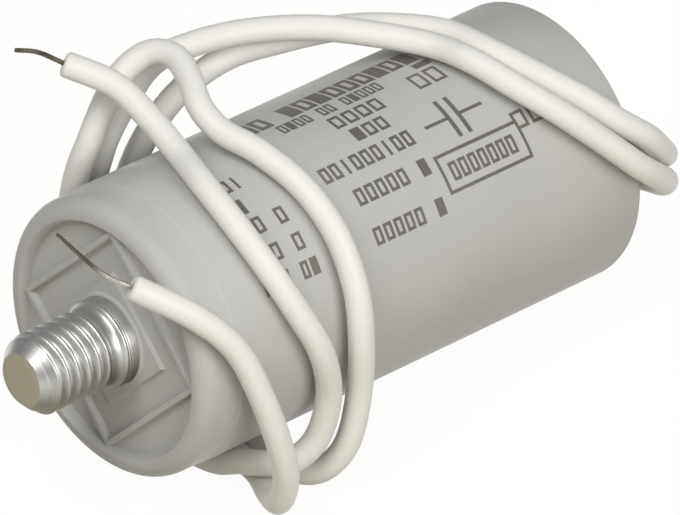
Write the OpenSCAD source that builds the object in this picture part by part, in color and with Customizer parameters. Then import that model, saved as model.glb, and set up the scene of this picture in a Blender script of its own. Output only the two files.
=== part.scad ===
// Motor run capacitor: plastic can with a moulded-in mounting stud and two insulated leads.
// Millimetres. The can's axis is X. X = 0 is the plane of the base rim, the face that seats on a
// panel. The stud points along -X and the leads leave the open end at +X. The can lies on its side.

/* [Case] */
// Outer diameter of the can
case_d = 28; // [24:0.5:32]
// Length of the can from base rim to open end
case_len = 55.5; // [52:0.5:70]
// Side wall of the can
case_wall = 1.3; // [1:0.1:1.8]
// Thickness of the base from rim plane to inner floor
base_thick = 5; // [4.4:0.1:7]
// Radius that rounds the base's outer edge
base_round = 1.7; // [0.6:0.1:2]
// Facets' worth of the rounding, as steps of arc
round_steps = 8; // [4:1:12]
// Small chamfer on the rim of the open end
mouth_chamfer = 0.3; // [0.1:0.05:0.5]
// Length of the slightly slimmer band beside the base
band_len = 4.4; // [3:0.1:8]
// How much the band's radius is less than the can's
band_step = 0.12; // [0.05:0.01:0.3]

/* [Base relief] */
// Width of the flat rim land that seats
rim_land = 0.2; // [0.1:0.05:1]
// Width of the bevel at the rim's inner edge
rim_bevel = 0.3; // [0.1:0.05:0.5]
// Depth of that bevel
rim_bevel_depth = 0.4; // [0.2:0.05:0.45]
// Depth of the recess inside the rim
recess_depth = 1.1; // [1:0.05:1.8]
// How far the corners of the square rib frame run into the rim
rib_merge = 0.25; // [0.1:0.05:0.4]
// Width of a rib
rib_w = 0.7; // [0.5:0.1:1.2]
// How far the rib tops lie below the rim plane
rib_drop = 0.5; // [0.2:0.1:0.8]
// Centre-to-corner size of the raised square pad
pad_half_diag = 7.15; // [6.8:0.05:8]
// How far the pad's top lies below the rim plane
pad_drop = 0.7; // [0.65:0.05:0.9]
// Outer radius of the round lip about the stud
lip_r = 4.7; // [4.65:0.05:6]
// How far the lip's top lies below the rim plane
lip_drop = 0.45; // [0.2:0.05:0.6]
// Turn of the square relief about the axis, in degrees
relief_turn = 1.8; // [0:0.1:10]

/* [Stud] */
// Major diameter of the stud's thread
stud_d = 7.9; // [6:0.1:8.2]
// Distance from the rim plane to the stud's tip
stud_reach = 10.2; // [9:0.1:25]
// Chamfer at the tip
tip_chamfer = 1.35; // [0.4:0.05:1.5]
// Distance from the rim plane to where the thread ends
thread_end = 2.1; // [1.8:0.1:3]
// Diameter of the plain collar behind the thread
collar_d = 8.7; // [8.4:0.1:9.2]
// Distance from the rim plane to the collar's front
collar_reach = 0.95; // [0.8:0.05:1.4]
// Diameter of the head moulded into the base
head_d = 13; // [11.5:0.5:15]
// Thickness of the moulded-in head
head_thick = 1.4; // [1:0.1:1.6]
// Plastic left between the head and the can's inside
head_cover = 0.8; // [0.5:0.1:1]

/* [Winding] */
// Resin gap between the can's wall and the wrapped winding
side_gap = 0.8; // [0.4:0.1:1.2]
// Gap between the inner floor and the base solder joint
floor_gap = 0.6; // [0.3:0.1:2]
// Length of the film roll
winding_len = 38; // [30:0.5:40]
// Thickness of the blank film wrapped round the roll
wrap_t = 0.3; // [0.2:0.1:0.5]
// Outer diameter of the tube that the film is wound on
core_d = 5; // [4.6:0.1:6]
// Bore of that tube
core_bore = 3.2; // [2.9:0.1:3.6]
// Thickness of a sprayed metal end layer
spray_t = 0.5; // [0.3:0.1:0.8]

/* [Leads] */
// Outer diameter of a lead's insulation
lead_d = 2.5; // [2:0.1:2.8]
// Diameter of the stranded conductor
conductor_d = 0.9; // [0.6:0.1:1.2]
// Diameter of a solder joint
solder_d = 2.6; // [2:0.1:3]
// Solder above and below the conductor in the base joint
solder_cover = 0.25; // [0.15:0.05:0.4]
// Distance from the base joint's centre to the can's axis
base_joint_r = 6.5; // [5.5:0.5:8]
// Bare conductor between the top joint's foot and its insulation
top_bare = 2; // [1.5:0.5:4]
// Distance from the open end's rim down to the resin
resin_drop = 1.5; // [0.8:0.1:3]

/* [Hidden] */

round_fn = 96;   // facets of a drawn circle
tube_sides = 8;  // sides of a swept lead

case_r = case_d / 2;
inner_r = case_r - case_wall;
recess_r = case_r - band_step - base_round - rim_land - rim_bevel;
rib_half_diag = recess_r + rib_merge;
stud_r = stud_d / 2;
collar_r = collar_d / 2;
head_x1 = base_thick - head_cover;
head_x0 = head_x1 - head_thick;

solder_h = conductor_d + 2 * solder_cover;
winding_r = inner_r - side_gap - wrap_t;
winding_x0 = base_thick + floor_gap + solder_h + spray_t;
winding_x1 = winding_x0 + winding_len;
spray_top_x = winding_x1 + spray_t;
spray_base_x = winding_x0 - spray_t;

lead_r = lead_d / 2;
conductor_r = conductor_d / 2;
base_run_x = spray_base_x - solder_cover - conductor_r;  // centre of the run along the base spray
bend_r = 2 * conductor_r;                 // bend of that conductor, at its centre
strip_x = winding_x0 + 1;                 // insulation of the long lead starts here, in the core
joint_end = base_joint_r + solder_d / 4;  // the conductor ends inside its joint
short_strip_x = spray_top_x + top_bare;

// Where the leads leave the open end, as [Y, Z]
long_exit = [0, 0];
short_exit = [-2, -3.5];

// Route of the long lead's centre. It crosses the can, winds round it twice near the base, with a
// loop that stands up between the two turns, and ends above the base.
LONG_ROUTE = [
    [case_len, long_exit[0], long_exit[1]],
    [58.5, 0, 0], [61.4, -1.2, -0.6], [63.4, -4.4, -0.9], [63.3, -8, -0.6], [61.5, -11, 0.7],
    [59, -13, 3], [56.3, -14, 5.8], [53.2, -13.3, 8.4], [50, -10.9, 11.4], [47.2, -7.8, 13.7],
    [45.2, -3.8, 15.2], [44.2, 1, 15.6], [41.2, 5.4, 15.6], [37, 8.4, 15.7], [31.5, 10.9, 15.3],
    [26.5, 12.2, 15], [21.5, 12.6, 13.6], [17.8, 12.8, 11], [16.2, 14.4, 6], [15.6, 16, -1],
    [15.2, 12.7, -9.8], [15.3, 4.8, -15.3], [15.3, -2, -15.3], [14.7, -8.4, -15.3],
    [15, -11.2, -15.3], [16, -13.3, -14], [17.2, -14.7, -11], [18, -15.3, -5.4], [17.6, -15.9, 1],
    [17.8, -14.8, 5.6], [17.8, -12.1, 10], [17.2, -8.2, 13.4], [16.2, -3.6, 15.4],
    [15.1, 0.4, 16.4], [15, 3.2, 17.8], [16.4, 6.2, 19], [17.3, 9.2, 19.8], [16.5, 11.8, 19.5],
    [14.2, 12.9, 18], [11.9, 12.8, 15.8], [9.7, 12.6, 12.6], [8.9, 13.8, 8.2], [9.6, 15.6, 2],
    [9.7, 15, -5.2], [9.8, 10.6, -11.9], [9.8, 5, -14.7], [9.8, 0.4, -15.3], [9.7, -4.4, -14.9],
    [9.6, -8, -13.3], [10.3, -11, -12.5], [12.2, -12.9, -11.9], [14, -14, -9.6], [14.4, -15, -4.8],
    [12.6, -15.9, 0.8], [10.6, -14.9, 5.4], [9.2, -12.6, 9.4], [8.4, -9.2, 12.8],
    [8.6, -4.4, 15.2], [10, 0.4, 15.8], [10.3, 5, 17.7], [9.4, 8.8, 20], [6.3, 12.4, 22]];

// Route of the short lead's centre. It crosses the can beside the long one, goes once round under
// it and ends in front of the base.
SHORT_ROUTE = [
    [case_len, short_exit[0], short_exit[1]],
    [58.4, -2, -3.5], [61, -3.9, -3.9], [62.4, -7.3, -3.8], [61.4, -10.8, -2.5],
    [59.4, -13.2, -0.4], [56.6, -14.9, 1.9], [53.6, -15.5, 4.4], [50.4, -14.5, 7.6],
    [46.8, -12, 11.2], [44, -9, 13.8], [42.2, -4.8, 15.6], [41.4, -0.2, 15.7], [38.2, 4.2, 16.3],
    [33.4, 7.7, 17.4], [28, 10.8, 17.8], [22.8, 12.8, 17.6], [18.4, 13.9, 16.6], [14, 13.4, 13.4],
    [11.8, 13.6, 9.6], [12.4, 15.9, 2], [12.5, 14.2, -7.4], [12.5, 8, -13.9], [12.5, 2, -15.3],
    [12.4, -3.6, -15.3], [11.7, -8, -15.3], [9.9, -11.8, -15.3], [8.7, -14.4, -14.4],
    [7.8, -16.3, -11], [6.6, -17, -7], [4.6, -16.6, -0.6], [2.4, -15.4, 5], [-0.8, -13.2, 8.8],
    [-5, -9.5, 12]];

// Routes of the stripped conductors, from the cut insulation to the tip
LONG_STRANDS = [[6.3, 12.4, 22], [4.75, 14.2, 23], [3, 15.4, 23.4]];
SHORT_STRANDS = [[-5, -9.5, 12], [-7.1, -7.65, 13.6], [-9.3, -4.2, 17]];

// A ring or disc about the can's axis from X = x0 to x1
module along_x(x0, x1, r, fn = round_fn) {
    translate([x0, 0, 0]) rotate([0, 90, 0]) cylinder(h = x1 - x0, r = r, $fn = fn);
}

// A rod along X whose centre is at the [Y, Z] place yz
module rod_x(x0, x1, r, yz) {
    translate([x0, yz[0], yz[1]]) rotate([0, 90, 0]) cylinder(h = x1 - x0, r = r, $fn = 48);
}

// A profile of [radius, X] points turned about the can's axis
module turned(points) {
    rotate([0, 90, 0]) rotate_extrude($fn = round_fn) polygon(points);
}

// A square prism with its corners on Y and Z
module diamond(x0, x1, half_diag) {
    side = half_diag * sqrt(2);
    translate([x0, 0, 0]) rotate([45 + relief_turn, 0, 0])
        translate([0, -side / 2, -side / 2]) cube([x1 - x0, side, side]);
}

function unit(v) = v / norm(v);
function way(p, i) =
    unit(p[min(i + 1, len(p) - 1)] - p[max(i - 1, 0)]);

// Upright side direction at each ring, carried along the route so that the tube doesn't twist
function sides(p, i = 0, last = [0, 0, 1], done = []) =
    i == len(p) ? done :
    let (t = way(p, i), s = unit(last - (last * t) * t))
    sides(p, i + 1, s, concat(done, [s]));

// A tube of radius r swept along the points p, with flat ends square to its way
module swept(p, r) {
    up = sides(p);
    n = len(p);
    points = [for (i = [0 : n - 1])
        let (t = way(p, i), u = up[i], v = cross(t, u))
        for (k = [0 : tube_sides - 1])
            p[i] + r * (cos(360 * k / tube_sides) * u + sin(360 * k / tube_sides) * v)];
    walls = [for (i = [0 : n - 2], k = [0 : tube_sides - 1])
        let (a = i * tube_sides, b = a + tube_sides, m = (k + 1) % tube_sides)
            [a + k, b + k, b + m, a + m]];
    start = [for (k = [0 : tube_sides - 1]) k];
    finish = [for (k = [tube_sides - 1 : -1 : 0]) (n - 1) * tube_sides + k];
    polyhedron(points, concat(walls, [start, finish]));
}

module stud_body() {
    turned([[0, -stud_reach], [stud_r - tip_chamfer, -stud_reach], [stud_r, tip_chamfer - stud_reach],
        [stud_r, -thread_end], [collar_r, -collar_reach], [collar_r, head_x0], [0, head_x0]]);
    along_x(head_x0, head_x1, head_d / 2, 6);
}

module case_shell() {
    turned(concat(
        [[0, recess_depth], [recess_r, recess_depth], [recess_r, rim_bevel_depth],
         [recess_r + rim_bevel, 0]],
        [for (i = [0 : round_steps]) let (a = 90 * i / round_steps)
            [case_r - band_step - base_round * (1 - sin(a)), base_round * (1 - cos(a))]],
        [[case_r - band_step, band_len], [case_r, band_len + band_step],
         [case_r, case_len - mouth_chamfer], [case_r - mouth_chamfer, case_len],
         [inner_r, case_len], [inner_r, base_thick], [0, base_thick]]));
}

module base_relief() {
    overlap = recess_depth / 2;
    difference() {
        diamond(rib_drop, recess_depth + overlap, rib_half_diag);
        diamond(rib_drop - overlap, recess_depth + 2 * overlap, rib_half_diag - rib_w * sqrt(2));
    }
    diamond(pad_drop, recess_depth + overlap, pad_half_diag);
    along_x(lip_drop, recess_depth + overlap, lip_r);
}

module case() {
    color("#b4b4b0") difference() {
        union() {
            case_shell();
            base_relief();
        }
        stud_body();
    }
}

module mounting_stud() {
    color("#b9bcc0") stud_body();
}

module winding_core() {
    color("#e8e4d8") difference() {
        along_x(winding_x0, winding_x1, core_d / 2);
        along_x(winding_x0 - 1, winding_x1 + 1, core_bore / 2);
    }
}

module film_winding() {
    color("#8f9498") difference() {
        along_x(winding_x0, winding_x1, winding_r);
        along_x(winding_x0 - 1, winding_x1 + 1, core_d / 2);
    }
}

module winding_wrap() {
    color("#d9d6c6") difference() {
        along_x(winding_x0, winding_x1, winding_r + wrap_t);
        along_x(winding_x0 - 1, winding_x1 + 1, winding_r);
    }
}

module spray(x0, x1) {
    color("#9a9da1") difference() {
        along_x(x0, x1, winding_r);
        along_x(x0 - 1, x1 + 1, core_d / 2);
    }
}

module end_spray_base() {
    spray(spray_base_x, winding_x0);
}

module end_spray_top() {
    spray(winding_x1, spray_top_x);
}

// The long lead's inner conductor: out of the core, round a bend and along the base spray
module conductor_base() {
    color("#c98f5a") {
        rod_x(base_run_x + bend_r, strip_x, conductor_r, long_exit);
        translate([base_run_x + bend_r, bend_r, 0]) rotate([0, 0, 180])
            rotate_extrude(angle = 90, $fn = round_fn)
                translate([bend_r, 0]) circle(r = conductor_r, $fn = 32);
        translate([base_run_x, bend_r, 0]) rotate([-90, 0, 0])
            cylinder(h = joint_end - bend_r, r = conductor_r, $fn = 48);
    }
}

// The short lead's inner conductor, which stands on the top spray
module conductor_top() {
    color("#c98f5a") rod_x(spray_top_x, short_strip_x, conductor_r, short_exit);
}

module solder_base() {
    color("#a7abb0") difference() {
        translate([spray_base_x - solder_h, base_joint_r, 0]) rotate([0, 90, 0])
            cylinder(h = solder_h, r1 = solder_d / 2 - solder_h / 2, r2 = solder_d / 2, $fn = 48);
        conductor_base();
    }
}

module solder_top() {
    color("#a7abb0") difference() {
        translate([spray_top_x, short_exit[0], short_exit[1]]) rotate([0, 90, 0])
            cylinder(h = solder_h, r1 = solder_d / 2, r2 = solder_d / 2 - solder_h / 2, $fn = 48);
        conductor_top();
    }
}

module lead_long_potted() {
    color("#e9e5da") rod_x(strip_x, case_len, lead_r, long_exit);
}

module lead_short_potted() {
    color("#e9e5da") rod_x(short_strip_x, case_len, lead_r, short_exit);
}

module potting_resin() {
    color("#d8d2c0") difference() {
        along_x(base_thick, case_len - resin_drop, inner_r);
        winding_core();
        film_winding();
        winding_wrap();
        end_spray_base();
        end_spray_top();
        conductor_base();
        solder_base();
        conductor_top();
        solder_top();
        lead_long_potted();
        lead_short_potted();
    }
}

module lead_long() {
    color("#f0ede4") swept(LONG_ROUTE, lead_r);
}

module lead_short() {
    color("#f0ede4") swept(SHORT_ROUTE, lead_r);
}

module strands_long() {
    color("#8d8678") swept(LONG_STRANDS, conductor_r);
}

module strands_short() {
    color("#b9b4a6") swept(SHORT_STRANDS, conductor_r);
}

case();
mounting_stud();
winding_core();
film_winding();
winding_wrap();
end_spray_base();
end_spray_top();
solder_base();
solder_top();
conductor_base();
conductor_top();
lead_long_potted();
lead_short_potted();
potting_resin();
lead_long();
lead_short();
strands_long();
strands_short();
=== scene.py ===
"""Motor run capacitor: plastic can, mounting stud and two insulated leads, dressed round its frame."""

import logging
import math
from dataclasses import dataclass
from enum import Enum
from typing import Callable, Iterable, Optional, Sequence

import bmesh
import bpy
import numpy as np
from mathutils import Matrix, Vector


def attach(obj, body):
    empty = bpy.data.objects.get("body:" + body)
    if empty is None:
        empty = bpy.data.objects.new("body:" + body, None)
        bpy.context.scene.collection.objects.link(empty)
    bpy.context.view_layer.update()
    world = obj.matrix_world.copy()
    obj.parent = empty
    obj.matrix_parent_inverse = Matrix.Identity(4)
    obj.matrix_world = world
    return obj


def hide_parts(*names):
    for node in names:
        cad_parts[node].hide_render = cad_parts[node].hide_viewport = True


LOG = logging.getLogger("capacitor")
MM = 0.001
ROOT = "root"
MERGE = 1e-7  # largest gap, in metres, across which doubled vertices are merged
SEAM_MERGE = 1e-6  # the same for the seam of the thread's wrapped grid
SPAN_POINTS = 16  # points of a smooth curve between two points of its route

Colour = tuple[float, float, float]
Point = tuple[float, float, float]
Bar = tuple[float, float, float, float]
Material = bpy.types.Material
Materials = dict[str, Material]
Object = bpy.types.Object
Socket = bpy.types.NodeSocket
Tree = bpy.types.NodeTree
Sockets = dict[str, tuple[str, ...]]
SHAPE: Sockets = {"Geometry": ("Geometry",)}

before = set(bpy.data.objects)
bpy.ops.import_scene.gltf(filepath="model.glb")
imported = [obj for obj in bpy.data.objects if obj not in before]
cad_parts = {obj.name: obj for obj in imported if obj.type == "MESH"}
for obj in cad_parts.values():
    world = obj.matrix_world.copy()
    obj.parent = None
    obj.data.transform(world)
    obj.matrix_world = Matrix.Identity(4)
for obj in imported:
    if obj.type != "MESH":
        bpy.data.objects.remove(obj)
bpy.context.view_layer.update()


# ---- small tools


class Field:
    """A number that a node tree works out at each point, with the usual arithmetic."""

    def __init__(self, tree: Tree, socket: Socket) -> None:
        """Keeps the tree and the output socket that the number comes from."""
        self.tree = tree
        self.socket = socket

    def math(self, operation: str, *others: "Field | float") -> "Field":
        """Adds one math node.

        Args:
            operation: The node's operation, such as "MULTIPLY".
            others: What follows this field in the node's inputs.

        Returns:
            The node's result.
        """
        node = add_node(self.tree, "ShaderNodeMath", self, *others, settings={"operation": operation})
        return Field(self.tree, node.outputs[0])

    def __add__(self, other: "Field | float") -> "Field":
        """Sum."""
        return self.math("ADD", other)

    def __sub__(self, other: "Field | float") -> "Field":
        """Difference."""
        return self.math("SUBTRACT", other)

    def __mul__(self, other: "Field | float") -> "Field":
        """Product."""
        return self.math("MULTIPLY", other)

    def __truediv__(self, other: "Field | float") -> "Field":
        """Quotient."""
        return self.math("DIVIDE", other)

    def ramp(self, low: float, high: float) -> "Field":
        """A smooth step from 0 at low to 1 at high."""
        node = add_node(self.tree, "ShaderNodeMapRange", settings={"interpolation_type": "SMOOTHSTEP"},
                        Value=self, From_Min=low, From_Max=high)
        return Field(self.tree, node.outputs["Result"])


def add_node(
    tree: Tree,
    kind: str,
    *ordered: Field | Socket | float,
    settings: Optional[dict[str, object]] = None,
    **named: Field | Socket | float | Sequence[float],
) -> bpy.types.Node:
    """Adds a node, sets it up and fills its inputs; a name's underscores stand for spaces.

    Args:
        tree: The tree that gets the node.
        kind: The node's type.
        ordered: What its first inputs take: a field or a socket is linked, a plain value is set.
        settings: Its own properties, such as an operation, which are set before its inputs.
        named: What the inputs with these names take.

    Returns:
        The new node.
    """
    node = tree.nodes.new(kind)
    for key, value in (settings or {}).items():
        setattr(node, key, value)
    filled = [*zip(node.inputs, ordered)]
    filled += [(node.inputs[key.replace("_", " ")], value) for key, value in named.items()]
    for slot, value in filled:
        source = value.socket if isinstance(value, Field) else value
        if isinstance(source, Socket):
            tree.links.new(source, slot)
        else:
            slot.default_value = source
    return node


def vector(x: Field, y: Field, z: Field) -> Socket:
    """Joins three fields into one vector socket."""
    return add_node(x.tree, "ShaderNodeCombineXYZ", x, y, z).outputs[0]


def split(tree: Tree, socket: Socket) -> list[Field]:
    """Splits a vector socket into its three fields."""
    return [Field(tree, output) for output in add_node(tree, "ShaderNodeSeparateXYZ", socket).outputs]


def add_object(name: str, data: bpy.types.ID) -> Object:
    """Makes an object at the origin and links it to the scene."""
    made = bpy.data.objects.new(name, data)
    bpy.context.scene.collection.objects.link(made)
    return made


def make_piece(
    name: str,
    points: Sequence[Sequence[float]],
    faces: Sequence[Sequence[int]],
    materials: Sequence[Material],
    smooth: bool = True,
) -> Object:
    """Makes a mesh object at the origin.

    Args:
        name: The piece's name.
        points: Its vertices, in metres.
        faces: Its faces, as vertex numbers.
        materials: Its material slots, in order.
        smooth: Whether its faces are shaded smooth.

    Returns:
        The new object, linked to the scene.
    """
    mesh = bpy.data.meshes.new(name)
    mesh.from_pydata([tuple(map(float, p)) for p in points], [], [tuple(f) for f in faces])
    for material in materials:
        mesh.materials.append(material)
    if smooth:
        mesh.shade_smooth()
    return add_object(name, mesh)


def tidy_mesh(piece: Object) -> None:
    """Merges doubled vertices and points the faces outwards."""
    mesh = bmesh.new()
    mesh.from_mesh(piece.data)
    bmesh.ops.remove_doubles(mesh, verts=mesh.verts, dist=MERGE)
    bmesh.ops.recalc_face_normals(mesh, faces=mesh.faces)
    mesh.to_mesh(piece.data)
    mesh.free()


def mark_sharp(piece: Object, degrees: float) -> None:
    """Marks the edges that turn by more than the angle as sharp."""
    mesh = bmesh.new()
    mesh.from_mesh(piece.data)
    for edge in mesh.edges:
        if len(edge.link_faces) == 2 and edge.calc_face_angle(0.0) > math.radians(degrees):
            edge.smooth = False
    mesh.to_mesh(piece.data)
    mesh.free()


def skin_faces(rings: int, sides: int) -> list[tuple[int, ...]]:
    """The faces of a closed skin: quads between its rings and a fan at each end.

    Args:
        rings: How many rings follow each other in the list of points.
        sides: How many points a ring has.

    Returns:
        The faces; the fans meet in the two points that follow the last ring.
    """
    after = [(k, (k + 1) % sides) for k in range(sides)]
    faces: list[tuple[int, ...]] = [
        (a + k, a + n, a + sides + n, a + sides + k)
        for a in range(0, (rings - 1) * sides, sides)
        for k, n in after
    ]
    first, end = rings * sides, (rings - 1) * sides
    for k, n in after:
        faces += [(first, n, k), (first + 1, end + k, end + n)]
    return faces


def through(points: np.ndarray, step: float) -> np.ndarray:
    """A smooth curve through points.

    Args:
        points: The points that the curve passes, one a row.
        step: The greatest distance between the points of the result.

    Returns:
        Points evenly spaced along the curve.
    """
    ends = np.vstack([2 * points[0] - points[1], points, 2 * points[-1] - points[-2]])
    fine = []
    for a, b, c, d in zip(ends, ends[1:], ends[2:], ends[3:]):
        t = np.linspace(0, 1, SPAN_POINTS, endpoint=False)[:, None]
        fine.append(0.5 * (2 * b + (c - a) * t + (2 * a - 5 * b + 4 * c - d) * t**2
                           + (3 * b - a - 3 * c + d) * t**3))
    curve = np.vstack([*fine, points[-1:]])
    along = np.r_[0, np.cumsum(np.linalg.norm(np.diff(curve, axis=0), axis=1))]
    stops = np.linspace(0, along[-1], int(math.ceil(along[-1] / step)) + 1)
    return np.stack([np.interp(stops, along, curve[:, k]) for k in range(3)], axis=1)


def carried_frames(path: np.ndarray) -> tuple[np.ndarray, np.ndarray, np.ndarray]:
    """Directions that travel along a path without twisting.

    Args:
        path: The path's points, one a row.

    Returns:
        The forward, upward and sideways unit vectors at each point.
    """
    forward = np.gradient(path, axis=0)
    forward /= np.linalg.norm(forward, axis=1)[:, None]
    up = np.array([0.0, 0.0, 1.0])
    ups = []
    for way in forward:
        up = up - (up @ way) * way
        up /= np.linalg.norm(up)
        ups.append(up)
    return forward, np.array(ups), np.cross(forward, ups)


def new_tree(kind: str, name: str, inputs: Sockets, outputs: Sockets) -> Tree:
    """Starts a node group with its sockets.

    Args:
        kind: "Shader" or "Geometry".
        name: The group's name.
        inputs: The names of its inputs, under their type.
        outputs: The names of its outputs, under their type.

    Returns:
        The group, with nothing in it yet.
    """
    tree = bpy.data.node_groups.new(name, f"{kind}NodeTree")
    for way, sockets in (("INPUT", inputs), ("OUTPUT", outputs)):
        for key, names in sockets.items():
            for item in names:
                tree.interface.new_socket(item, in_out=way, socket_type=f"NodeSocket{key}")
    return tree


def end_tree(tree: Tree, shape: Socket, material: Material) -> None:
    """Ends a geometry node tree: its instances are made real and given the material."""
    real = add_node(tree, "GeometryNodeRealizeInstances", Geometry=shape)
    paint = add_node(tree, "GeometryNodeSetMaterial", Geometry=real.outputs[0], Material=material)
    add_node(tree, "NodeGroupOutput", Geometry=paint.outputs[0])


def grown(source: Object, tree: Tree, values: dict[str, float]) -> Object:
    """Runs a geometry node tree on an object and keeps the result as its plain mesh.

    Args:
        source: The object that the tree starts from.
        tree: The geometry node tree.
        values: The tree's inputs by name.

    Returns:
        The same object with the made mesh and no modifier.
    """
    modifier = source.modifiers.new("made", "NODES")
    modifier.node_group = tree
    sockets = {item.name: item.identifier for item in tree.interface.items_tree if item.in_out == "INPUT"}
    for key, value in values.items():
        modifier[sockets[key]] = value
    source.update_tag()
    depsgraph = bpy.context.evaluated_depsgraph_get()
    made = bpy.data.meshes.new_from_object(source.evaluated_get(depsgraph), preserve_all_data_layers=True,
                                           depsgraph=depsgraph)
    source.modifiers.clear()
    made.name = source.name
    source.data = made
    return source


# ---- finishes


class Shader:
    """Builds one material's node tree."""

    def __init__(self, name: str) -> None:
        """Starts a material with a bare Principled shader."""
        self.material = bpy.data.materials.new(name)
        self.material.use_nodes = True
        self.tree = self.material.node_tree
        self.principled = self.tree.nodes["Principled BSDF"]
        self.place = self.tree.nodes.new("ShaderNodeTexCoord").outputs["Object"]

    def set(self, **values: float | Colour) -> None:
        """Sets the shader's own sockets; a name's underscores stand for spaces."""
        for key, value in values.items():
            slot = self.principled.inputs[key.replace("_", " ")]
            slot.default_value = (*value, 1.0) if isinstance(value, tuple) else value

    def group(self, tree: Tree, **values: float) -> bpy.types.Node:
        """Places a node group that reads the object's own coordinates."""
        return add_node(self.tree, "ShaderNodeGroup", settings={"node_tree": tree}, Vector=self.place,
                        **values)

    def colour(self, low: Colour, high: Colour, mask: Socket) -> None:
        """Colours the surface between two colours by a mask."""
        mix = add_node(self.tree, "ShaderNodeMix", settings={"data_type": "RGBA"},
                       A=(*low, 1.0), B=(*high, 1.0), Factor=mask)
        self.tree.links.new(mix.outputs["Result"], self.principled.inputs["Base Color"])

    def roughness(self, low: float, high: float, mask: Socket) -> None:
        """Varies the roughness between two values by a mask."""
        spread = Field(self.tree, mask) * (high - low) + low
        self.tree.links.new(spread.socket, self.principled.inputs["Roughness"])

    def bump(self, height: Socket, depth: float) -> None:
        """Gives the surface a fine relief of the depth, in metres."""
        node = add_node(self.tree, "ShaderNodeBump", Distance=depth, Height=height)
        self.tree.links.new(node.outputs["Normal"], self.principled.inputs["Normal"])


def mottle_group() -> Tree:
    """The soft clouding and fine grain of moulded plastic, resin and cast metal.

    Returns:
        A group with a Cloud mask, a Grain mask and a Height.
    """
    tree = new_tree("Shader", "mottle", {"Vector": ("Vector",), "Float": ("Cloud Scale", "Grain Scale")},
                    {"Float": ("Cloud", "Grain", "Height")})
    start = tree.nodes.new("NodeGroupInput").outputs
    masks = {}
    for name, detail in (("Cloud", 4.0), ("Grain", 2.0)):
        noise = add_node(tree, "ShaderNodeTexNoise", Detail=detail, Vector=start["Vector"],
                         Scale=start[f"{name} Scale"])
        masks[name] = Field(tree, noise.outputs["Fac"]).ramp(0.3, 0.7)
    grain = 0.7
    height = masks["Grain"] * grain + masks["Cloud"] * (1 - grain)
    add_node(tree, "NodeGroupOutput", Height=height, **masks)
    return tree


def turning_group() -> Tree:
    """The fine rings that a lathe leaves round the X axis and across a cut end.

    Returns:
        A group with a Lines mask that follows X on sides and the radius on ends.
    """
    tree = new_tree("Shader", "turning", {"Vector": ("Vector",), "Float": ("Line Scale", "Waver")},
                    {"Float": ("Lines",)})
    start = tree.nodes.new("NodeGroupInput").outputs
    x, y, z = split(tree, start["Vector"])
    radius = (y * y + z * z).math("SQRT")
    face_lines = 0.9
    scale = Field(tree, start["Line Scale"])
    waver = Field(tree, start["Waver"]) * scale
    noise = add_node(tree, "ShaderNodeTexNoise", Scale=1.0, Detail=3.0,
                     Vector=vector((x - radius * face_lines) * scale, y * waver, z * waver))
    add_node(tree, "NodeGroupOutput", Lines=Field(tree, noise.outputs["Fac"]).ramp(0.25, 0.75))
    return tree


class Texture(Enum):
    """Which fine relief a finish carries."""

    MOULDED = "moulded"
    TURNED = "turned"


@dataclass(frozen=True)
class Finish:
    """One material: its two colours, its gloss and its fine relief.

    A fade is an axis with the places where the low colour ends and the full mask begins; the stud's fade
    along Z is painted shade on its underside.
    """

    name: str
    low: Colour
    high: Colour
    rough: tuple[float, float] = (0.35, 0.45)
    metal: float = 0.0
    coat: float = 0.0
    coat_rough: float = 0.12
    specular: float = 0.5
    depth: float = 0.00001
    cloud_scale: float = 90.0
    grain_scale: float = 2500.0
    line_scale: float = 9000.0
    waver: float = 0.008
    texture: Texture = Texture.MOULDED
    fade: Optional[tuple[int, float, float]] = None
    fade_mottle: float = 0.4

    def build(self, groups: dict[Texture, Tree]) -> Material:
        """Makes the material.

        Args:
            groups: The shared node group of each texture.

        Returns:
            The new material.
        """
        shader = Shader(self.name)
        shader.set(Metallic=self.metal, Coat_Weight=self.coat, Coat_Roughness=self.coat_rough,
                   Specular_IOR_Level=self.specular)
        if self.texture is Texture.TURNED:
            node = shader.group(groups[Texture.TURNED], Line_Scale=self.line_scale, Waver=self.waver)
            mask = height = node.outputs["Lines"]
        else:
            node = shader.group(groups[Texture.MOULDED], Cloud_Scale=self.cloud_scale,
                                Grain_Scale=self.grain_scale)
            mask, height = node.outputs["Cloud"], node.outputs["Height"]
        # The fade darkens one end of an axis: on the stud, along Z, it is painted shade on the underside; on
        # the short strands, along X, it is their own dark tip.
        if self.fade:
            axis, start, end = self.fade
            reach = split(shader.tree, shader.place)[axis].ramp(start, end)
            mask = (reach * (Field(shader.tree, mask) * self.fade_mottle + (1 - self.fade_mottle))).socket
        shader.colour(self.low, self.high, mask)
        shader.roughness(*self.rough, mask)
        shader.bump(height, self.depth)
        return shader.material


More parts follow.
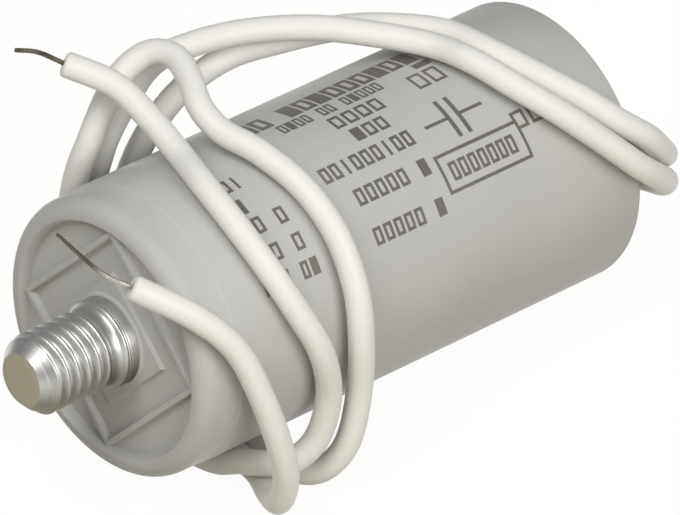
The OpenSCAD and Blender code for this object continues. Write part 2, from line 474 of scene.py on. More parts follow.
FINISHES = (
    Finish("case_plastic", (0.51, 0.505, 0.487), (0.53, 0.525, 0.508), (0.26, 0.32), specular=0.04,
           depth=0.000006),
    Finish("print_ink", (0.135, 0.128, 0.115), (0.175, 0.167, 0.152), (0.4, 0.5), depth=0.000004),
    # The stud's dark low colour below its axis is painted shade on its underside, turning lighter towards the
    # top.
    Finish("stud_metal", (0.22, 0.21, 0.17), (0.8, 0.795, 0.78), (0.48, 0.36), metal=1.0,
           depth=0.000008, texture=Texture.TURNED, fade=(2, -2.0 * MM, 2.0 * MM)),
    Finish("cut_metal", (0.4, 0.37, 0.28), (0.46, 0.43, 0.33), (0.5, 0.6), metal=0.15, specular=0.2,
           depth=0.000008, texture=Texture.TURNED),
    Finish("lead_insulation", (0.8, 0.79, 0.75), (0.83, 0.82, 0.78), (0.28, 0.36), specular=0.12,
           depth=0.000008, cloud_scale=120.0, grain_scale=1800.0),
    Finish("strand_dark", (0.07, 0.065, 0.05), (0.21, 0.19, 0.15), (0.3, 0.5), metal=0.9, cloud_scale=700.0),
    Finish("strand_bright", (0.12, 0.1, 0.07), (0.62, 0.6, 0.54), (0.4, 0.28), metal=1.0, cloud_scale=500.0,
           fade=(0, -7.8 * MM, -6.6 * MM)),
    Finish("core_plastic", (0.72, 0.69, 0.6), (0.78, 0.75, 0.66), (0.45, 0.55)),
    Finish("metallised_film", (0.42, 0.44, 0.47), (0.55, 0.57, 0.6), (0.25, 0.35), metal=0.8),
    Finish("blank_film", (0.62, 0.6, 0.52), (0.72, 0.7, 0.62), (0.2, 0.3), coat=0.4),
    Finish("sprayed_metal", (0.3, 0.31, 0.32), (0.44, 0.45, 0.46), (0.6, 0.8), metal=0.9, depth=0.00008,
           grain_scale=1500.0),
    Finish("solder", (0.5, 0.5, 0.51), (0.66, 0.66, 0.67), (0.25, 0.4), metal=1.0),
    Finish("resin", (0.52, 0.48, 0.39), (0.6, 0.56, 0.47), (0.22, 0.34), depth=0.00006, cloud_scale=160.0),
)

NODE_FINISHES = {
    "core_plastic": ("winding_core",),
    "metallised_film": ("film_winding",),
    "blank_film": ("winding_wrap",),
    "sprayed_metal": ("end_spray_base", "end_spray_top"),
    "solder": ("solder_base", "solder_top"),
    "strand_bright": ("conductor_base", "conductor_top"),
    "lead_insulation": ("lead_long_potted", "lead_short_potted"),
    "resin": ("potting_resin",),
}


def build_finishes() -> Materials:
    """Builds every material and dresses the kept CAD nodes.

    Returns:
        The materials by name.
    """
    groups = {Texture.MOULDED: mottle_group(), Texture.TURNED: turning_group()}
    materials = {finish.name: finish.build(groups) for finish in FINISHES}
    for finish, nodes in NODE_FINISHES.items():
        for slot in (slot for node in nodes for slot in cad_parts[node].material_slots):
            slot.material = materials[finish]
    return materials


# ---- camera, light and floor


@dataclass(frozen=True)
class Viewpoint:
    """The camera: what it looks at, from which side and how far off."""

    target: Point = (18.66 * MM, -11.89 * MM, 6.71 * MM)
    azimuth: float = -42.75
    elevation: float = 30.38
    distance: float = 1.0
    lens: float = 573.1
    sensor: float = 36.0
    near: float = 0.05
    far: float = 20.0

    def build(self) -> None:
        """Makes the scene's camera."""
        a, e = math.radians(self.azimuth), math.radians(self.elevation)
        back = Vector((math.sin(a) * math.cos(e), -math.cos(a) * math.cos(e), math.sin(e)))
        camera = add_object("camera", bpy.data.cameras.new("camera"))
        camera.data.lens = self.lens
        camera.data.sensor_width = self.sensor
        camera.data.clip_start = self.near
        camera.data.clip_end = self.far
        camera.rotation_mode = "QUATERNION"
        camera.location = Vector(self.target) + back * self.distance
        camera.rotation_quaternion = (-back).to_track_quat("-Z", "Y")
        bpy.context.scene.camera = camera


@dataclass(frozen=True)
class Lamp:
    """A square soft light that faces the object."""

    name: str
    direction: Point
    distance: float
    size: float
    power: float
    colour: Colour = (1.0, 0.99, 0.97)
    middle: Point = (25 * MM, 0.0, 0.0)

    def build(self) -> None:
        """Makes the lamp and turns it towards the middle of the can."""
        way = Vector(self.direction).normalized()
        data = bpy.data.lights.new(self.name, "AREA")
        data.size = self.size
        data.energy = self.power
        data.color = self.colour
        lamp = add_object(self.name, data)
        lamp.location = Vector(self.middle) + way * self.distance
        lamp.rotation_mode = "QUATERNION"
        lamp.rotation_quaternion = way.to_track_quat("Z", "Y")


@dataclass(frozen=True)
class Studio:
    """The plain pale room: floor, sky and lamps."""

    floor_low: Point = (15.0 * MM, 0.0, -16.56 * MM)
    floor_high: Point = (55.5 * MM, 0.0, -14.01 * MM)
    floor_size: float = 6.0
    floor_colour: Colour = (0.42, 0.39, 0.3)
    floor_white: float = 0.8
    floor_shine: float = 1.18
    floor_rough: float = 0.7
    sky: Colour = (0.97, 0.98, 1.0)
    sky_strength: float = 0.24
    lamps: tuple[Lamp, ...] = (
        Lamp("key", (-0.6, -0.15, 0.785), 0.8, 0.4, 3.0),
        Lamp("fill", (-0.19, -0.88, 0.43), 0.8, 0.5, 3.6),
    )

    def build(self) -> None:
        """Makes the floor, the sky and the lamps."""
        self.build_floor()
        self.build_sky()
        for lamp in self.lamps:
            lamp.build()

    def build_floor(self) -> None:
        """Lays the floor under the leads and the can's far edge, on which the object rests."""
        low, high = Vector(self.floor_low), Vector(self.floor_high)
        slope = (high - low).normalized()
        half = self.floor_size / 2
        corners = [low + slope * a + Vector((0.0, b, 0.0))
                   for a, b in ((-half, -half), (half, -half), (half, half), (-half, half))]
        shader = Shader("floor_paper")
        shader.set(Base_Color=self.floor_colour, Roughness=self.floor_rough)
        shine = add_node(shader.tree, "ShaderNodeEmission", Strength=self.floor_shine)
        light = shader.tree.nodes.new("ShaderNodeLightPath").outputs
        camera, glossy, clear = (
            Field(shader.tree, light[f"Is {kind} Ray"]) for kind in ("Camera", "Glossy", "Transmission"))
        seen = camera.math("MAXIMUM", glossy).math("MAXIMUM", clear) * self.floor_white
        mix = add_node(shader.tree, "ShaderNodeMixShader", seen, shader.principled.outputs[0],
                       shine.outputs[0])
        shader.tree.links.new(mix.outputs[0], shader.tree.nodes["Material Output"].inputs["Surface"])
        floor = make_piece("floor", corners, [(0, 1, 2, 3)], [shader.material], smooth=False)

    def build_sky(self) -> None:
        """Sets an even pale sky."""
        world = bpy.data.worlds.new("sky")
        world.use_nodes = True
        background = world.node_tree.nodes["Background"]
        background.inputs["Color"].default_value = (*self.sky, 1.0)
        background.inputs["Strength"].default_value = self.sky_strength
        bpy.context.scene.world = world


# ---- leads

LONG_ROUTE: tuple[Point, ...] = (
    (55.5, 0, 0), (58.5, 0, 0), (61.4, -1.2, -0.6), (63.4, -4.4, -0.9), (63.3, -8, -0.6),
    (61.5, -11, 0.7), (59, -13, 3), (56.3, -14, 5.8), (53.2, -13.3, 8.4), (50, -10.9, 11.4),
    (47.2, -7.8, 13.7), (45.2, -3.8, 15.2), (44.2, 1, 15.6), (41.2, 5.4, 15.6), (37, 8.4, 15.7),
    (31.5, 10.9, 15.3), (26.5, 12.2, 15), (21.5, 12.6, 13.6), (17.8, 12.8, 11), (16.2, 14.4, 6),
    (15.6, 16, -1), (15.2, 12.7, -9.8), (15.3, 4.8, -15.3), (15.3, -2, -15.3), (14.7, -8.4, -15.3),
    (15, -11.2, -15.3), (16, -13.3, -14), (17.2, -14.7, -11), (18, -15.3, -5.4), (17.6, -15.9, 1),
    (17.8, -14.8, 5.6), (17.8, -12.1, 10), (17.2, -8.2, 13.4), (16.2, -3.6, 15.4),
    (15.1, 0.4, 16.4), (15, 3.2, 17.8), (16.4, 6.2, 19), (17.3, 9.2, 19.8), (16.5, 11.8, 19.5),
    (14.2, 12.9, 18), (11.9, 12.8, 15.8), (9.7, 12.6, 12.6), (8.9, 13.8, 8.2), (9.6, 15.6, 2),
    (9.7, 15, -5.2), (9.8, 10.6, -11.9), (9.8, 5, -14.7), (9.8, 0.4, -15.3), (9.7, -4.4, -14.9),
    (9.6, -8, -13.3), (10.3, -11, -12.5), (12.2, -12.9, -11.9), (14, -14, -9.6), (14.4, -15, -4.8),
    (12.6, -15.9, 0.8), (10.6, -14.9, 5.4), (9.2, -12.6, 9.4), (8.4, -9.2, 12.8),
    (8.6, -4.4, 15.2), (10, 0.4, 15.8), (10.3, 5, 17.7), (9.4, 8.8, 20), (6.3, 12.4, 22),
)

SHORT_ROUTE: tuple[Point, ...] = (
    (55.5, -2, -3.5), (58.4, -2, -3.5), (61, -3.9, -3.9), (62.4, -7.3, -3.8), (61.4, -10.8, -2.5),
    (59.4, -13.2, -0.4), (56.6, -14.9, 1.9), (53.6, -15.5, 4.4), (50.4, -14.5, 7.6),
    (46.8, -12, 11.2), (44, -9, 13.8), (42.2, -4.8, 15.6), (41.4, -0.2, 15.7), (38.2, 4.2, 16.3),
    (33.4, 7.7, 17.4), (28, 10.8, 17.8), (22.8, 12.8, 17.6), (18.4, 13.9, 16.6), (14, 13.4, 13.4),
    (11.8, 13.6, 9.6), (12.4, 15.9, 2), (12.5, 14.2, -7.4), (12.5, 8, -13.9), (12.5, 2, -15.3),
    (12.4, -3.6, -15.3), (11.7, -8, -15.3), (9.9, -11.8, -15.3), (8.7, -14.4, -14.4),
    (7.8, -16.3, -11), (6.6, -17, -7), (4.6, -16.6, -0.6), (2.4, -15.4, 5), (-0.8, -13.2, 8.8),
    (-5, -9.5, 12),
)


@dataclass
class Strands:
    """The bare twisted wires at the end of a lead."""

    name: str
    node: str
    route: tuple[Point, ...]
    finish: str
    count: int = 7
    sides: int = 8
    wire: float = 0.085 * MM
    bundle: float = 0.17 * MM
    tip_bundle: float = 0.14 * MM
    turns: float = 2.0
    step: float = 0.25 * MM
    crease: float = 60.0

    def tree(self, material: Material) -> Tree:
        """Builds the node tree that lays the wires round each other along a path.

        Args:
            material: The wires' material.

        Returns:
            The geometry node tree.
        """
        numbers = ("Wire Radius", "Bundle Radius", "Tip Radius", "Turns")
        tree = new_tree("Geometry", "stranded_wire", {**SHAPE, "Float": numbers, "Int": ("Wires",)}, SHAPE)
        start = tree.nodes.new("NodeGroupInput").outputs
        curve = add_node(tree, "GeometryNodeMeshToCurve", Mesh=start["Geometry"])
        copies = add_node(tree, "GeometryNodeDuplicateElements", settings={"domain": "SPLINE"},
                          Geometry=curve.outputs["Curve"], Amount=start["Wires"])
        share = Field(tree, tree.nodes.new("GeometryNodeSplineParameter").outputs["Factor"])
        wires = Field(tree, start["Wires"]) - 1.0
        index = Field(tree, copies.outputs["Duplicate Index"])
        turn = (index / wires + share * Field(tree, start["Turns"])) * math.tau
        bundle = Field(tree, start["Bundle Radius"])
        reach = bundle + (Field(tree, start["Tip Radius"]) - bundle) * share * share
        reach = reach * index.math("LESS_THAN", wires)
        normal, tangent = (
            tree.nodes.new(f"GeometryNodeInput{kind}").outputs[0] for kind in ("Normal", "Tangent"))
        side = add_node(tree, "ShaderNodeVectorMath", tangent, normal,
                        settings={"operation": "CROSS_PRODUCT"})
        shifts = [
            add_node(tree, "ShaderNodeVectorMath", way, settings={"operation": "SCALE"}, Scale=amount * reach)
            for way, amount in ((normal, turn.math("COSINE")), (side.outputs[0], turn.math("SINE")))
        ]
        offset = add_node(tree, "ShaderNodeVectorMath", *[shift.outputs[0] for shift in shifts])
        move = add_node(tree, "GeometryNodeSetPosition", Geometry=copies.outputs["Geometry"],
                        Offset=offset.outputs[0])
        ring = add_node(tree, "GeometryNodeCurvePrimitiveCircle", Resolution=self.sides,
                        Radius=start["Wire Radius"])
        sweep = add_node(tree, "GeometryNodeCurveToMesh", Fill_Caps=True, Curve=move.outputs["Geometry"],
                         Profile_Curve=ring.outputs["Curve"])
        end_tree(tree, sweep.outputs["Mesh"], material)
        return tree

    def build(self, materials: Materials) -> Object:
        """Makes the wires and stands them for their CAD node."""
        path = through(np.array(self.route) * MM, self.step)
        edges = [(i, i + 1) for i in range(len(path) - 1)]
        mesh = bpy.data.meshes.new(self.name)
        mesh.from_pydata([tuple(p) for p in path], edges, [])
        values = {"Wire Radius": self.wire, "Bundle Radius": self.bundle, "Tip Radius": self.tip_bundle,
                  "Turns": self.turns, "Wires": self.count}
        piece = grown(add_object(self.name, mesh), self.tree(materials[self.finish]), values)
        tidy_mesh(piece)
        piece.data.shade_smooth()
        mark_sharp(piece, self.crease)
        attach(piece, ROOT)
        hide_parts(self.node)
        return piece


@dataclass
class Lead:
    """An insulated lead that lies free, with its cut end and bare strands.

    The socket is the mouth of the cut end, as a share of the conductor's radius.
    """

    name: str
    node: str
    route: tuple[Point, ...]
    length: float
    strands: Strands
    diameter: float = 2.5 * MM
    conductor: float = 0.32 * MM
    sides: int = 28
    step: float = 0.7 * MM
    lip: float = 0.45 * MM
    lip_angles: tuple[int, ...] = (30, 60, 90)
    socket: float = 1.15

    def build(self, materials: Materials) -> Object:
        """Args:
            materials: The finished materials by name.

        Returns:
            The lead's insulation.
        """
        path = through(np.array(self.route) * MM, self.step)
        forward, up, side = carried_frames(path)
        radius = self.diameter / 2
        turn = np.linspace(0, math.tau, self.sides, endpoint=False)
        circle = np.cos(turn)[None, :, None] * up[:, None] + np.sin(turn)[None, :, None] * side[:, None]
        rings = [path[i] + radius * circle[i] for i in range(len(path))]
        last, way = path[-1], forward[-1]
        rings[-1] = last - way * self.lip + radius * circle[-1]
        for a in map(math.radians, self.lip_angles):
            narrowed = radius - self.lip * (1 - math.cos(a))
            rings.append(last + way * self.lip * (math.sin(a) - 1) + narrowed * circle[-1])
        rings.append(last + self.conductor * self.socket * circle[-1])
        rings.append(last - way * self.lip + self.conductor * circle[-1])
        points = np.vstack([*rings, path[:1], last[None] - way * self.lip])
        piece = make_piece(self.name, points, skin_faces(len(rings), self.sides),
                           [materials["lead_insulation"]])
        tidy_mesh(piece)
        wires = self.strands.build(materials)
        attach(piece, ROOT)
        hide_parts(self.node)
        return piece


LEADS = (
    Lead("long_lead", "lead_long", LONG_ROUTE, 0.301,
         Strands("long_lead_strands", "strands_long", ((6.3, 12.4, 22), (4.75, 14.2, 23), (3, 15.4, 23.4)),
                 "strand_dark")),
    Lead("short_lead", "lead_short", SHORT_ROUTE, 0.172,
         Strands("short_lead_strands", "strands_short",
                 ((-5, -9.5, 12), (-7.1, -7.65, 13.6), (-9.3, -4.2, 17)),
                 "strand_bright", bundle=0.14 * MM, tip_bundle=0.07 * MM, turns=3.0)),
)


# ---- stud


@dataclass
class Stud:
    """The turned metal stud with its rolled thread, plain collar and hidden head.

    The cup is how far the sawn tip is dished, and the core is the radius of its middle face.
    """

    crest: float = 3.95 * MM
    root: float = 3.26 * MM
    neck: float = 3.68 * MM
    pitch: float = 1.25 * MM
    shift: float = -0.74 * MM
    reach: float = 10.2 * MM
    chamfer: float = 1.35 * MM
    thread_end: float = 2.1 * MM
    collar: float = 4.32 * MM
    collar_front: float = 0.95 * MM
    collar_edge: float = 0.1 * MM
    collar_round: float = 0.03 * MM
    hollow_share: float = 0.96
    groove: float = 0.07 * MM
    grooves: tuple[float, ...] = (0.3 * MM, 0.55 * MM)
    buried: float = 2.8 * MM
    fade_turns: float = 0.7
    blend: float = 0.2 * MM
    cup: float = 0.02 * MM
    core: float = 0.1 * MM
    crease: float = 55.0
    sides: int = 120
    rows_a_turn: int = 22

    def tree(self, material: Material) -> Tree:
        """Builds the node tree that turns a flat grid into a thread.

        Args:
            material: The thread's material.

        Returns:
            The geometry node tree.
        """
        numbers = ("Start X", "End X", "Crest Radius", "Root Radius", "Neck Radius", "Pitch", "Shift",
                   "Chamfer")
        tree = new_tree("Geometry", "rolled_thread", {"Float": numbers, "Int": ("Sides", "Rows")}, SHAPE)
        start = tree.nodes.new("NodeGroupInput").outputs
        values = {output.name: Field(tree, output) for output in start if output.name}
        grid = add_node(tree, "GeometryNodeMeshGrid", Size_X=1.0, Size_Y=1.0,
                        Vertices_X=values["Sides"] + 1.0, Vertices_Y=values["Rows"])
        u, v, _ = split(tree, tree.nodes.new("GeometryNodeInputPosition").outputs[0])
        around, along = u + 0.5, v + 0.5
        x = values["Start X"] + (values["End X"] - values["Start X"]) * along
        phase = ((x - values["Shift"]) / values["Pitch"] - around).math("FRACT")
        wave = (phase * 2.0 - 1.0).math("ABSOLUTE")
        depth = values["Crest Radius"] - values["Root Radius"]
        thread = values["Root Radius"] + depth * wave.ramp(0.0, 1.0)
        runout = (values["End X"] - x) / values["Pitch"]
        thread = thread + (values["Neck Radius"] - thread) * (runout * -1.0).ramp(-self.fade_turns, 0.0)
        cone = values["Crest Radius"] - values["Chamfer"] + (x - values["Start X"])
        radius = thread.math("SMOOTH_MIN", cone, self.blend)
        angle = around * math.tau
        move = add_node(tree, "GeometryNodeSetPosition", Geometry=grid.outputs["Mesh"],
                        Position=vector(x, radius * angle.math("COSINE"), radius * angle.math("SINE")))
        end_tree(tree, move.outputs["Geometry"], material)
        return tree

    def build(self, materials: Materials) -> Object:
        """Makes the stud: thread from its tree, then tip, collar and head as turned rings."""
        name = "threaded_stud"
        source = add_object(name, bpy.data.meshes.new(name))
        length = self.reach - self.thread_end
        values = {"Start X": -self.reach, "End X": -self.thread_end, "Crest Radius": self.crest,
                  "Root Radius": self.root, "Neck Radius": self.neck, "Pitch": self.pitch,
                  "Shift": self.shift, "Chamfer": self.chamfer, "Sides": self.sides,
                  "Rows": int(length / self.pitch * self.rows_a_turn)}
        piece = grown(source, self.tree(materials["stud_metal"]), values)
        mesh = bmesh.new()
        mesh.from_mesh(piece.data)
        bmesh.ops.remove_doubles(mesh, verts=mesh.verts, dist=SEAM_MERGE)
        self.close_tip(mesh)
        self.add_collar(mesh)
        bmesh.ops.recalc_face_normals(mesh, faces=mesh.faces)
        mesh.to_mesh(piece.data)
        mesh.free()
        piece.data.shade_smooth()
        mark_sharp(piece, self.crease)
        piece.data.materials.append(materials["cut_metal"])
        cut, facing = len(piece.data.materials) - 1, -0.9
        for polygon in piece.data.polygons:
            if polygon.center.x < -self.reach + self.cup and polygon.normal.x < facing:
                polygon.material_index = cut
        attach(piece, ROOT)
        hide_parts("mounting_stud")
        return piece

    def rim(self, mesh: bmesh.types.BMesh, x: float) -> list[bmesh.types.BMEdge]:
        """The open edges that lie at the given X."""
        near = 0.01 * MM
        return [e for e in mesh.edges if e.is_boundary and all(abs(v.co.x - x) < near for v in e.verts)]

    def grow(self, mesh: bmesh.types.BMesh, rim: list, steps: Iterable[tuple[float, float]]) -> list:
        """Adds rings beyond an open rim, each at an X and a radius.

        Args:
            mesh: The mesh that grows.
            rim: The open edges that the first ring starts from.
            steps: The X and radius of each ring.

        Returns:
            The last ring's edges.
        """
        for x, radius in steps:
            out = bmesh.ops.extrude_edge_only(mesh, edges=rim)["geom"]
            rim = [g for g in out if isinstance(g, bmesh.types.BMEdge)]
            for vertex in (g for g in out if isinstance(g, bmesh.types.BMVert)):
                flat = Vector((0.0, vertex.co.y, vertex.co.z)).normalized() * radius
                vertex.co = Vector((x, flat.y, flat.z))
        return rim

    def close_tip(self, mesh: bmesh.types.BMesh) -> None:
        """Closes the sawn tip with a few rings and a middle face."""
        radius = self.crest - self.chamfer
        rim = self.grow(mesh, self.rim(mesh, -self.reach),
                        [(-self.reach - self.cup, radius - self.core), (-self.reach - self.cup, radius * 0.6),
                         (-self.reach - self.cup / 2, radius * 0.3), (-self.reach, self.core)])
        bmesh.ops.contextual_create(mesh, geom=rim)

    def add_collar(self, mesh: bmesh.types.BMesh) -> None:
        """Adds the cone, the grooved collar and the buried end."""
        front, wide, end = -self.collar_front, self.collar, -self.thread_end
        edge = wide - self.collar_edge
        steps = []
        for share in np.linspace(0.1, 1.0, 10):
            rise = 1 - math.sqrt(1 - share * share)
            steps.append((end + (front - end) * share * self.hollow_share,
                          self.neck + (edge - self.neck) * rise))
        steps += [(front + self.collar_round, wide - self.collar_round), (front + self.collar_edge, wide)]
        for centre in self.grooves:
            x = front + centre
            steps += [(x - self.groove, wide), (x, wide - self.groove * 0.6), (x + self.groove, wide)]
        steps += [(self.buried, wide), (self.buried, wide * 0.5), (self.buried, self.core)]
        rim = self.grow(mesh, self.rim(mesh, end), steps)
        bmesh.ops.contextual_create(mesh, geom=rim)


# ---- case


@dataclass
class Case:
    """The moulded can with its base relief: rim, rib frame, square pad and stud lip.

    The margin, ease and kink are small steps between rings that keep an edge crisp.
    """

    radius: float = 14.0 * MM
    length: float = 55.5 * MM
    wall: float = 1.3 * MM
    base: float = 5.0 * MM
    rounding: float = 1.7 * MM
    band: float = 4.4 * MM
    band_step: float = 0.12 * MM
    mouth: float = 0.3 * MM
    recess: float = 1.1 * MM
    land: float = 0.2 * MM
    bevel: float = 0.3 * MM
    bevel_depth: float = 0.4 * MM
    rib: float = 0.7 * MM
    rib_merge: float = 0.25 * MM
    rib_drop: float = 0.5 * MM
    pad: float = 7.15 * MM
    pad_drop: float = 0.7 * MM
    lip: float = 4.7 * MM
    lip_drop: float = 0.45 * MM
    turn: float = 1.8
    hole: float = 4.35 * MM
    hole_depth: float = 2.8 * MM
    draft: float = 0.15 * MM
    ease: float = 0.05 * MM
    kink: float = 0.02 * MM
    margin: float = 0.08 * MM
    inner_ring: float = 4.0 * MM
    wall_rings: tuple[float, ...] = (8, 16, 24, 32, 40, 48)
    crease: float = 50.0
    sides: int = 640
    relief_rings: int = 104
    round_steps: int = 14

    @property
    def slim(self) -> float:
        """The radius of the slimmer band beside the base."""
        return self.radius - self.band_step

    @property
    def recess_radius(self) -> float:
        """The radius of the recess inside the rim."""
        return self.slim - self.rounding - self.land - self.bevel

    def relief(self, y: np.ndarray, z: np.ndarray) -> np.ndarray:
        """How far the moulded base lies behind the rim plane.

        Args:
            y: Y of each point.
            z: Z of each point.

        Returns:
            The X of the base's surface at each point.
        """
        turn = math.radians(self.turn - 45)
        across = np.maximum(np.abs(y * math.cos(turn) + z * math.sin(turn)),
                            np.abs(z * math.cos(turn) - y * math.sin(turn)))
        out = np.hypot(y, z)
        half = (self.recess_radius + self.rib_merge) / math.sqrt(2) - self.rib / 2
        features = (
            (self.rib / 2 - np.abs(across - half), self.rib_drop),
            (self.pad / math.sqrt(2) - across, self.pad_drop),
            (self.lip - out, self.lip_drop),
            (out - self.recess_radius, self.bevel_depth),
        )
        surface = np.full_like(out, self.recess)
        for inside, top in features:
            share = np.clip(inside / self.draft + 0.5, 0, 1)
            step = share * share * (3 - 2 * share)
            surface = np.minimum(surface, self.recess - (self.recess - top) * step)
        sloped = np.clip((out - self.recess_radius) / self.bevel, 0, 1)
        return np.where(sloped > 0, np.minimum(surface, self.bevel_depth * (1 - sloped)), surface)

    def stations(self) -> list[tuple[float, Optional[float]]]:
        """The rings from the stud hole outwards and back inside.

        Returns:
            Each ring's radius and X, where None takes X from the relief.
        """
        edge = self.slim - self.rounding
        arc = [math.radians(90 * i / self.round_steps) for i in range(1, self.round_steps + 1)]
        inner = self.radius - self.wall
        return [
            (self.hole, self.hole_depth),
            *[(r, None) for r in np.linspace(self.hole, edge - self.margin, self.relief_rings)],
            (edge, 0.0),
            *[(edge + self.rounding * math.sin(a), self.rounding * (1 - math.cos(a))) for a in arc],
            (self.slim, self.band - self.ease),
            (self.slim + self.kink, self.band),
            (self.radius - self.kink, self.band + self.band_step),
            (self.radius, self.band + self.band_step + self.ease),
            *[(self.radius, x * MM) for x in self.wall_rings],
            (self.radius, self.length - self.mouth),
            (self.radius - self.mouth * 0.3, self.length - self.mouth * 0.3),
            (self.radius - self.mouth, self.length),
            (inner + self.mouth * 0.5, self.length),
            (inner, self.length - self.mouth * 0.5),
            (inner, self.length - self.inner_ring),
            (inner, self.base),
        ]

    def build(self, materials: Materials) -> Object:
        """Makes the can as one closed skin."""
        turn = np.linspace(0, math.tau, self.sides, endpoint=False)
        y, z = np.cos(turn), np.sin(turn)
        rings = []
        for radius, x in self.stations():
            depth = self.relief(radius * y, radius * z) if x is None else np.full(self.sides, x)
            rings.append(np.stack([depth, radius * y, radius * z], axis=1))
        points = np.vstack([*rings, [[self.hole_depth, 0, 0]], [[self.base, 0, 0]]])
        piece = make_piece("moulded_can", points, skin_faces(len(rings), self.sides),
                           [materials["case_plastic"]])
        tidy_mesh(piece)
        mark_sharp(piece, self.crease)
        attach(piece, ROOT)
        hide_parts("case")
        return piece


# ---- printed marks


@dataclass(frozen=True)
class Row:
    """A printed row of plain bars: its stretch along the can and its band round it."""

    start: float
    end: float
    low: float
    high: float
    marks: str
    fill: float = 0.78
    stroke: float = 0.32


ROWS = (
    Row(18.8, 40.8, 94.0, 104.5, "oo bobooobob", 0.86, 0.5),
    Row(21.8, 34.7, 86.5, 92.5, "oboo oo obooo", 0.8, 0.26),
    Row(26.3, 32.9, 77.0, 84.0, "oooo"),
    Row(27.0, 31.5, 68.0, 74.5, "boo"),
    Row(20.8, 32.5, 57.0, 64.0, "ooioooioo"),
    Row(22.8, 32.2, 43.8, 50.8, "ooooo b"),
    Row(22.8, 32.0, 27.4, 34.4, "ooooo b"),
    Row(37.0, 41.0, 78.0, 87.0, "oo"),
    Row(38.9, 41.5, 89.0, 92.5, "b"),
    Row(43.0, 47.0, 45.0, 52.5, "oo"),
    Row(33.9, 42.4, 37.4, 45.0, "ooooooo", 0.8),
    Row(11.0, 13.6, 71.0, 77.5, "oi"),
    Row(9.3, 12.0, 60.0, 67.0, "ob"),
    Row(8.4, 15.3, 50.5, 57.5, "ooo o"),
    Row(8.6, 15.5, 38.5, 45.5, "ooo o"),
    Row(9.0, 16.0, 27.5, 34.5, "ooo ob"),
)


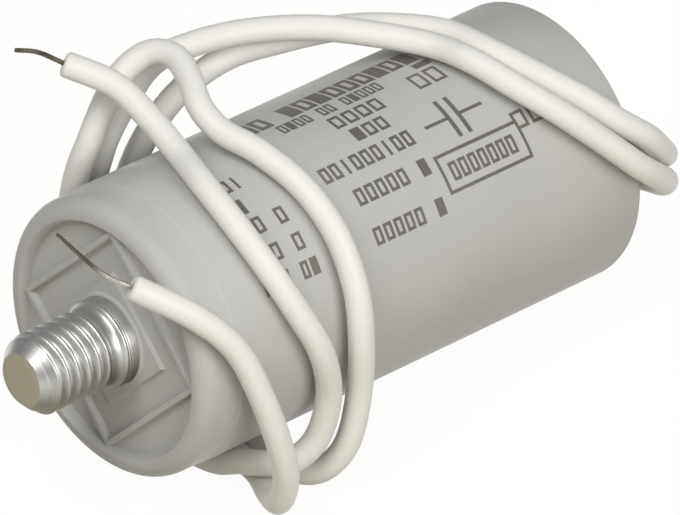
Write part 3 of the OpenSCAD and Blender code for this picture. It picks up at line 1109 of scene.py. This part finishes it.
@dataclass
class Print:
    """Plain printed marks on the can: rows of bars, an open frame and a two-plate symbol."""

    radius: float = 14.0 * MM
    proud: float = 0.012 * MM
    stroke: float = 0.34 * MM
    plate: float = 1.4
    plate_gap: float = 0.62 * MM
    frame_box: Bar = (33.1, 43.4, 33.9, 48.6)
    symbol_box: Bar = (34.2, 41.4, 52.2, 70.0)

    def bars(self) -> list[Bar]:
        """Every bar as its centre and half sizes, along the can and round it, in metres."""
        rows = [bar for row in ROWS for bar in self.row_bars(row)]
        return rows + self.outline(self.frame_box) + self.plates(self.symbol_box)

    def row_bars(self, row: Row) -> list[Bar]:
        """The bars of one row: four round an open box, one for a solid box or a thin stroke."""
        pitch = (row.end - row.start) / len(row.marks)
        middle, half = self.arc((row.low + row.high) / 2), self.arc(row.high - row.low) / 2
        thin = row.stroke * MM / 2
        bars = []
        for i, mark in enumerate(row.marks):
            x, wide = (row.start + pitch * (i + 0.5)) * MM, pitch * MM * row.fill / 2
            if mark == "o":
                bars += [(x - wide + thin, middle, thin, half), (x + wide - thin, middle, thin, half)]
                bars += [(x, middle + end * (half - thin), wide - 2 * thin, thin) for end in (-1, 1)]
            elif mark in "bi":
                bars.append((x, middle, wide if mark == "b" else thin, half))
        return bars

    def outline(self, box: Bar) -> list[Bar]:
        """Four bars that make an open frame."""
        x0, x1, low, high = box[0] * MM, box[1] * MM, self.arc(box[2]), self.arc(box[3])
        thin, x, s = self.stroke / 2, (x0 + x1) / 2, (low + high) / 2
        return [(x, low, (x1 - x0) / 2 + thin, thin), (x, high, (x1 - x0) / 2 + thin, thin),
                (x0, s, thin, (high - low) / 2 - thin), (x1, s, thin, (high - low) / 2 - thin)]

    def plates(self, box: Bar) -> list[Bar]:
        """Two facing plates with a line to each, the plain sign for a capacitor."""
        x0, x1, low, high = box[0] * MM, box[1] * MM, self.arc(box[2]), self.arc(box[3])
        x, s, gap = (x0 + x1) / 2, (low + high) / 2, self.plate_gap
        thin, tall, reach = self.stroke / 2, (high - low) / 2, (x1 - x0) / 4 - gap / 2
        return [(x - gap, s, thin * self.plate, tall), (x + gap, s, thin * self.plate, tall),
                (x0 + reach, s, reach, thin), (x1 - reach, s, reach, thin)]

    def arc(self, degrees: float) -> float:
        """The length round the can of an angle in degrees."""
        return math.radians(degrees) * self.radius

    def tree(self, material: Material) -> Tree:
        """Builds the node tree that lays a bar on each point and wraps them all round the can.

        Args:
            material: The ink.

        Returns:
            The geometry node tree.
        """
        tree = new_tree("Geometry", "printed_bars", {**SHAPE, "Float": ("Can Radius", "Proud")}, SHAPE)
        start = tree.nodes.new("NodeGroupInput").outputs
        slab = add_node(tree, "GeometryNodeMeshCube", Size=(2.0, 2.0, 1.0), Vertices_X=3, Vertices_Y=9)
        size = add_node(tree, "GeometryNodeInputNamedAttribute", settings={"data_type": "FLOAT_VECTOR"},
                        Name="half_size")
        scatter = add_node(tree, "GeometryNodeInstanceOnPoints", Points=start["Geometry"],
                           Instance=slab.outputs["Mesh"], Scale=size.outputs["Attribute"])
        real = add_node(tree, "GeometryNodeRealizeInstances", Geometry=scatter.outputs["Instances"])
        x, round_the_can, height = split(tree, tree.nodes.new("GeometryNodeInputPosition").outputs[0])
        can = Field(tree, start["Can Radius"])
        angle = round_the_can / can
        out = can + height + Field(tree, start["Proud"]) * 0.5
        wrap = add_node(tree, "GeometryNodeSetPosition", Geometry=real.outputs["Geometry"],
                        Position=vector(x, out * angle.math("COSINE") * -1.0, out * angle.math("SINE")))
        end_tree(tree, wrap.outputs["Geometry"], material)
        return tree

    def build(self, materials: Materials) -> Object:
        """Makes all the marks as one piece of thin closed bars."""
        bars = self.bars()
        mesh = bpy.data.meshes.new("printed_marks")
        mesh.from_pydata([(x, s, 0.0) for x, s, _, _ in bars], [], [])
        sizes = mesh.attributes.new("half_size", "FLOAT_VECTOR", "POINT")
        for item, (_, _, along, around) in zip(sizes.data, bars):
            item.vector = (along, around, self.proud)
        values = {"Can Radius": self.radius, "Proud": self.proud}
        piece = grown(add_object("printed_marks", mesh), self.tree(materials["print_ink"]), values)
        tidy_mesh(piece)
        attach(piece, ROOT)
        return piece


# ---- the whole


def main() -> None:
    """Builds the camera, the leads, the can and the studio, and reports each piece."""
    logging.basicConfig(level=logging.INFO)
    scene = bpy.context.scene
    scene.view_settings.view_transform = "Standard"
    Viewpoint().build()
    materials = build_finishes()
    builders: list[Callable[[Materials], Object]] = [
        *[lead.build for lead in LEADS], Stud().build, Case().build, Print().build]
    for build in builders:
        piece = build(materials)
        LOG.info("%s: %d faces", piece.name, len(piece.data.polygons))
    Studio().build()


if __name__ == "__main__":
    main()
